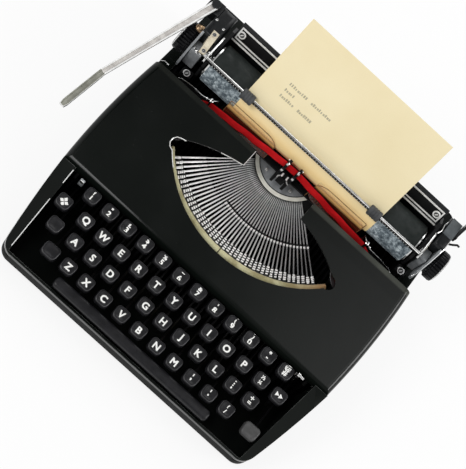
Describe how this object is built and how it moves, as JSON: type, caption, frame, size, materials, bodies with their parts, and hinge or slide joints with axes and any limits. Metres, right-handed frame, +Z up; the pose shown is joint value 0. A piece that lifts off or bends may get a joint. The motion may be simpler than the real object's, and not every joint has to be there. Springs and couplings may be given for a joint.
{
  "type": "manual typewriter",
  "caption": "Portable manual typewriter with a glossy cover over a type basket, rows of square keys on levers, and a sliding carriage that holds a sheet of paper.",
  "frame": {"origin": "on the table, under the middle of the whole machine's box", "axes": "+X to the typist's right, +Y to the back, +Z up"},
  "size_m": [0.3164, 0.28, 0.1909],
  "materials": {
    "black_gloss": "gloss black enamel",
    "rubber_black": "matt",
    "frame_steel": "zinc plated sheet",
    "bright_steel": "bright plated",
    "felt": "pressed felt",
    "segment_grey": "ground steel",
    "typebar_steel": "nickel plated",
    "spool_metal": "satin",
    "ribbon_red": "inked cotton",
    "clear_plastic": "clear",
    "carriage_black": "satin black",
    "platen_rubber": "ground rubber",
    "knob_black": "moulded",
    "paper_cream": "uncoated paper",
    "key_plastic": "moulded keys",
    "roller_grey": "matt"
  },
  "bodies": {
    "chassis": {"lower_casing": "black_gloss", "upper_casing": "black_gloss", "rubber_feet": "rubber_black", "main_frame": "frame_steel", "key_lever_shaft_and_comb": "frame_steel", "type_rest_pad": "felt", "card_holders": "clear_plastic", "carriage_rail": "bright_steel", "ribbon": "ribbon_red"},
    "cover": {"ribbon_cover": "black_gloss"},
    "basket": {"segment": "segment_grey", "typebars": "typebar_steel"},
    "typebar_g_body": {"typebar_g": "typebar_steel"},
    "left_spool": {"left_ribbon_spool": "spool_metal"},
    "right_spool": {"right_ribbon_spool": "spool_metal"},
    "vibrator": {"ribbon_vibrator": "bright_steel"},
    "carriage": {"carriage_frame": "carriage_black", "end_covers": "carriage_black", "paper_table": "carriage_black", "paper": "paper_cream"},
    "platen_body": {"platen": "platen_rubber", "platen_knobs": "knob_black"},
    "bail": {"paper_bail": "bright_steel"},
    "bail_roller_pair": {"bail_rollers": "roller_grey"},
    "return_lever_body": {"return_lever": "bright_steel"},
    "release_lever_body": {"paper_release_lever": "carriage_black"},
    "drum": {"mainspring_drum": "frame_steel"},
    "selector": {"ribbon_selector": "bright_steel"},
    "shift": {"shift_keys": "key_plastic"},
    "shift_lock": {"shift_lock_key": "key_plastic"},
    "space": {"space_bar": "key_plastic"},
    "margin_release": {"margin_release_key": "key_plastic"},
    "tabulator": {"tabulator_key": "key_plastic"},
    "figures": {"figure_and_sign_keys": "key_plastic"},
    "letter_a": {"key_a": "key_plastic"},
    "letter_b": {"key_b": "key_plastic"},
    "letter_c": {"key_c": "key_plastic"},
    "letter_d": {"key_d": "key_plastic"},
    "letter_e": {"key_e": "key_plastic"},
    "letter_f": {"key_f": "key_plastic"},
    "letter_g": {"key_g": "key_plastic"},
    "letter_h": {"key_h": "key_plastic"},
    "letter_i": {"key_i": "key_plastic"},
    "letter_j": {"key_j": "key_plastic"},
    "letter_k": {"key_k": "key_plastic"},
    "letter_l": {"key_l": "key_plastic"},
    "letter_m": {"key_m": "key_plastic"},
    "letter_n": {"key_n": "key_plastic"},
    "letter_o": {"key_o": "key_plastic"},
    "letter_p": {"key_p": "key_plastic"},
    "letter_q": {"key_q": "key_plastic"},
    "letter_r": {"key_r": "key_plastic"},
    "letter_s": {"key_s": "key_plastic"},
    "letter_t": {"key_t": "key_plastic"},
    "letter_u": {"key_u": "key_plastic"},
    "letter_v": {"key_v": "key_plastic"},
    "letter_w": {"key_w": "key_plastic"},
    "letter_x": {"key_x": "key_plastic"},
    "letter_y": {"key_y": "key_plastic"},
    "letter_z": {"key_z": "key_plastic"}
  },
  "joints": [
    {"name": "bail_swing", "type": "hinge", "parent": "carriage", "child": "bail", "pos_m": [0.0128, 0.08, 0.124], "axis": [-1, 0, 0], "range_deg": [0, 40]},
    {"name": "carriage_slide", "type": "slide", "parent": "chassis", "child": "carriage", "axis": [1, 0, 0], "range_m": [-0.105, 0.105]},
    {"name": "cover_lift", "type": "slide", "parent": "chassis", "child": "cover", "axis": [0, 0, 1], "range_m": [0, 0.02]},
    {"name": "lever_swing", "type": "hinge", "parent": "carriage", "child": "return_lever_body", "pos_m": [-0.1222, 0.099, 0.128], "axis": [0, 0, 1], "range_deg": [0, 25], "stiffness_Nm_per_rad": 0.5, "springref_deg": -5.73},
    {"name": "platen_turn", "type": "hinge", "parent": "carriage", "child": "platen_body", "pos_m": [0.0128, 0.073, 0.105], "axis": [1, 0, 0], "continuous": true},
    {"name": "paper_release_swing", "type": "hinge", "parent": "carriage", "child": "release_lever_body", "pos_m": [0.0128, 0.096, 0.12], "axis": [1, 0, 0], "range_deg": [0, 25]},
    {"name": "ribbon_selector_swing", "type": "hinge", "parent": "chassis", "child": "selector", "pos_m": [0.0128, -0.05, 0.05], "axis": [1, 0, 0], "range_deg": [0, 12]},
    {"name": "ribbon_spool_turn", "type": "hinge", "parent": "chassis", "child": "left_spool", "pos_m": [-0.0862, 0.03, 0.075], "axis": [0, 0, 1], "continuous": true},
    {"name": "shift_press", "type": "hinge", "parent": "chassis", "child": "shift", "pos_m": [0.0128, 0.1, 0.022], "axis": [1, 0, 0], "range_deg": [0, 3.2], "stiffness_Nm_per_rad": 2.5, "springref_deg": -14.32},
    {"name": "shift_lock_press", "type": "hinge", "parent": "chassis", "child": "shift_lock", "pos_m": [0.0128, 0.1, 0.022], "axis": [1, 0, 0], "range_deg": [0, 3.2], "stiffness_Nm_per_rad": 0.5, "springref_deg": -11.46},
    {"name": "space_bar_press", "type": "hinge", "parent": "chassis", "child": "space", "pos_m": [0.0128, 0.1, 0.022], "axis": [1, 0, 0], "range_deg": [0, 1.3], "stiffness_Nm_per_rad": 1, "springref_deg": -11.46},
    {"name": "tabulator_press", "type": "hinge", "parent": "chassis", "child": "tabulator", "pos_m": [0.0128, 0.1, 0.022], "axis": [1, 0, 0], "range_deg": [0, 3.2], "stiffness_Nm_per_rad": 0.5, "springref_deg": -11.46},
    {"name": "margin_release_press", "type": "hinge", "parent": "chassis", "child": "margin_release", "pos_m": [0.0128, 0.1, 0.022], "axis": [1, 0, 0], "range_deg": [0, 3.2], "stiffness_Nm_per_rad": 0.5, "springref_deg": -11.46},
    {"name": "typing_figures_and_signs", "type": "hinge", "parent": "chassis", "child": "figures", "pos_m": [0.0128, 0.1, 0.022], "axis": [1, 0, 0], "range_deg": [0, 3.2], "stiffness_Nm_per_rad": 6, "springref_deg": -11.46},
    {"name": "typing_key_a", "type": "hinge", "parent": "chassis", "child": "letter_a", "pos_m": [0.0128, 0.1, 0.022], "axis": [1, 0, 0], "range_deg": [0, 3.2], "stiffness_Nm_per_rad": 0.5, "springref_deg": -11.46},
    {"name": "typing_key_b", "type": "hinge", "parent": "chassis", "child": "letter_b", "pos_m": [0.0128, 0.1, 0.022], "axis": [1, 0, 0], "range_deg": [0, 3.2], "stiffness_Nm_per_rad": 0.5, "springref_deg": -11.46},
    {"name": "typing_key_c", "type": "hinge", "parent": "chassis", "child": "letter_c", "pos_m": [0.0128, 0.1, 0.022], "axis": [1, 0, 0], "range_deg": [0, 3.2], "stiffness_Nm_per_rad": 0.5, "springref_deg": -11.46},
    {"name": "typing_key_d", "type": "hinge", "parent": "chassis", "child": "letter_d", "pos_m": [0.0128, 0.1, 0.022], "axis": [1, 0, 0], "range_deg": [0, 3.2], "stiffness_Nm_per_rad": 0.5, "springref_deg": -11.46},
    {"name": "typing_key_e", "type": "hinge", "parent": "chassis", "child": "letter_e", "pos_m": [0.0128, 0.1, 0.022], "axis": [1, 0, 0], "range_deg": [0, 3.2], "stiffness_Nm_per_rad": 0.5, "springref_deg": -11.46},
    {"name": "typing_key_f", "type": "hinge", "parent": "chassis", "child": "letter_f", "pos_m": [0.0128, 0.1, 0.022], "axis": [1, 0, 0], "range_deg": [0, 3.2], "stiffness_Nm_per_rad": 0.5, "springref_deg": -11.46},
    {"name": "typing_key_g", "type": "hinge", "parent": "chassis", "child": "letter_g", "pos_m": [0.0128, 0.1, 0.022], "axis": [1, 0, 0], "range_deg": [0, 3.2], "stiffness_Nm_per_rad": 0.5, "springref_deg": -11.46},
    {"name": "typing_key_h", "type": "hinge", "parent": "chassis", "child": "letter_h", "pos_m": [0.0128, 0.1, 0.022], "axis": [1, 0, 0], "range_deg": [0, 3.2], "stiffness_Nm_per_rad": 0.5, "springref_deg": -11.46},
    {"name": "typing_key_i", "type": "hinge", "parent": "chassis", "child": "letter_i", "pos_m": [0.0128, 0.1, 0.022], "axis": [1, 0, 0], "range_deg": [0, 3.2], "stiffness_Nm_per_rad": 0.5, "springref_deg": -11.46},
    {"name": "typing_key_j", "type": "hinge", "parent": "chassis", "child": "letter_j", "pos_m": [0.0128, 0.1, 0.022], "axis": [1, 0, 0], "range_deg": [0, 3.2], "stiffness_Nm_per_rad": 0.5, "springref_deg": -11.46},
    {"name": "typing_key_k", "type": "hinge", "parent": "chassis", "child": "letter_k", "pos_m": [0.0128, 0.1, 0.022], "axis": [1, 0, 0], "range_deg": [0, 3.2], "stiffness_Nm_per_rad": 0.5, "springref_deg": -11.46},
    {"name": "typing_key_l", "type": "hinge", "parent": "chassis", "child": "letter_l", "pos_m": [0.0128, 0.1, 0.022], "axis": [1, 0, 0], "range_deg": [0, 3.2], "stiffness_Nm_per_rad": 0.5, "springref_deg": -11.46},
    {"name": "typing_key_m", "type": "hinge", "parent": "chassis", "child": "letter_m", "pos_m": [0.0128, 0.1, 0.022], "axis": [1, 0, 0], "range_deg": [0, 3.2], "stiffness_Nm_per_rad": 0.5, "springref_deg": -11.46},
    {"name": "typing_key_n", "type": "hinge", "parent": "chassis", "child": "letter_n", "pos_m": [0.0128, 0.1, 0.022], "axis": [1, 0, 0], "range_deg": [0, 3.2], "stiffness_Nm_per_rad": 0.5, "springref_deg": -11.46},
    {"name": "typing_key_o", "type": "hinge", "parent": "chassis", "child": "letter_o", "pos_m": [0.0128, 0.1, 0.022], "axis": [1, 0, 0], "range_deg": [0, 3.2], "stiffness_Nm_per_rad": 0.5, "springref_deg": -11.46},
    {"name": "typing_key_p", "type": "hinge", "parent": "chassis", "child": "letter_p", "pos_m": [0.0128, 0.1, 0.022], "axis": [1, 0, 0], "range_deg": [0, 3.2], "stiffness_Nm_per_rad": 0.5, "springref_deg": -11.46},
    {"name": "typing_key_q", "type": "hinge", "parent": "chassis", "child": "letter_q", "pos_m": [0.0128, 0.1, 0.022], "axis": [1, 0, 0], "range_deg": [0, 3.2], "stiffness_Nm_per_rad": 0.5, "springref_deg": -11.46},
    {"name": "typing_key_r", "type": "hinge", "parent": "chassis", "child": "letter_r", "pos_m": [0.0128, 0.1, 0.022], "axis": [1, 0, 0], "range_deg": [0, 3.2], "stiffness_Nm_per_rad": 0.5, "springref_deg": -11.46},
    {"name": "typing_key_s", "type": "hinge", "parent": "chassis", "child": "letter_s", "pos_m": [0.0128, 0.1, 0.022], "axis": [1, 0, 0], "range_deg": [0, 3.2], "stiffness_Nm_per_rad": 0.5, "springref_deg": -11.46},
    {"name": "typing_key_t", "type": "hinge", "parent": "chassis", "child": "letter_t", "pos_m": [0.0128, 0.1, 0.022], "axis": [1, 0, 0], "range_deg": [0, 3.2], "stiffness_Nm_per_rad": 0.5, "springref_deg": -11.46},
    {"name": "typing_key_u", "type": "hinge", "parent": "chassis", "child": "letter_u", "pos_m": [0.0128, 0.1, 0.022], "axis": [1, 0, 0], "range_deg": [0, 3.2], "stiffness_Nm_per_rad": 0.5, "springref_deg": -11.46},
    {"name": "typing_key_v", "type": "hinge", "parent": "chassis", "child": "letter_v", "pos_m": [0.0128, 0.1, 0.022], "axis": [1, 0, 0], "range_deg": [0, 3.2], "stiffness_Nm_per_rad": 0.5, "springref_deg": -11.46},
    {"name": "typing_key_w", "type": "hinge", "parent": "chassis", "child": "letter_w", "pos_m": [0.0128, 0.1, 0.022], "axis": [1, 0, 0], "range_deg": [0, 3.2], "stiffness_Nm_per_rad": 0.5, "springref_deg": -11.46},
    {"name": "typing_key_x", "type": "hinge", "parent": "chassis", "child": "letter_x", "pos_m": [0.0128, 0.1, 0.022], "axis": [1, 0, 0], "range_deg": [0, 3.2], "stiffness_Nm_per_rad": 0.5, "springref_deg": -11.46},
    {"name": "typing_key_y", "type": "hinge", "parent": "chassis", "child": "letter_y", "pos_m": [0.0128, 0.1, 0.022], "axis": [1, 0, 0], "range_deg": [0, 3.2], "stiffness_Nm_per_rad": 0.5, "springref_deg": -11.46},
    {"name": "typing_key_z", "type": "hinge", "parent": "chassis", "child": "letter_z", "pos_m": [0.0128, 0.1, 0.022], "axis": [1, 0, 0], "range_deg": [0, 3.2], "stiffness_Nm_per_rad": 0.5, "springref_deg": -11.46},
    {"name": "right_spool_turn", "type": "hinge", "parent": "chassis", "child": "right_spool", "pos_m": [0.1118, 0.03, 0.075], "axis": [0, 0, 1], "continuous": true},
    {"name": "basket_shift", "type": "slide", "parent": "chassis", "child": "basket", "axis": [0, 0, -1], "range_m": [0, 0.0046]},
    {"name": "drum_turn", "type": "hinge", "parent": "chassis", "child": "drum", "pos_m": [-0.0852, 0.1195, 0.04], "axis": [0, 1, 0], "range_deg": [-336, 336]},
    {"name": "bail_roller_spin", "type": "hinge", "parent": "bail", "child": "bail_roller_pair", "pos_m": [0.0128, 0.0587, 0.126], "axis": [1, 0, 0], "continuous": true},
    {"name": "vibrator_lift", "type": "slide", "parent": "chassis", "child": "vibrator", "axis": [0, 0, 1], "range_m": [0, 0.0082], "deforming": ["ribbon"]},
    {"name": "typebar_g_swing", "type": "hinge", "parent": "basket", "child": "typebar_g_body", "pos_m": [0.01201, 0.0473, 0.03848], "axis": [-0.9998, 0.0179, 0.0095], "range_deg": [0, 73.83]}
  ],
  "couplings": [
    {"joint": "basket_shift", "follows": "shift_press", "m_per_rad": 0.07878},
    {"joint": "right_spool_turn", "follows": "ribbon_spool_turn", "ratio": 1},
    {"joint": "drum_turn", "follows": "carriage_slide", "rad_per_m": 55.556},
    {"joint": "bail_roller_spin", "follows": "platen_turn", "ratio": -3.98},
    {"joint": "typebar_g_swing", "follows": "typing_key_g", "ratio": 23.04},
    {"joint": "vibrator_lift", "follows": "typing_key_g", "m_per_rad": 0.14324}
  ]
}
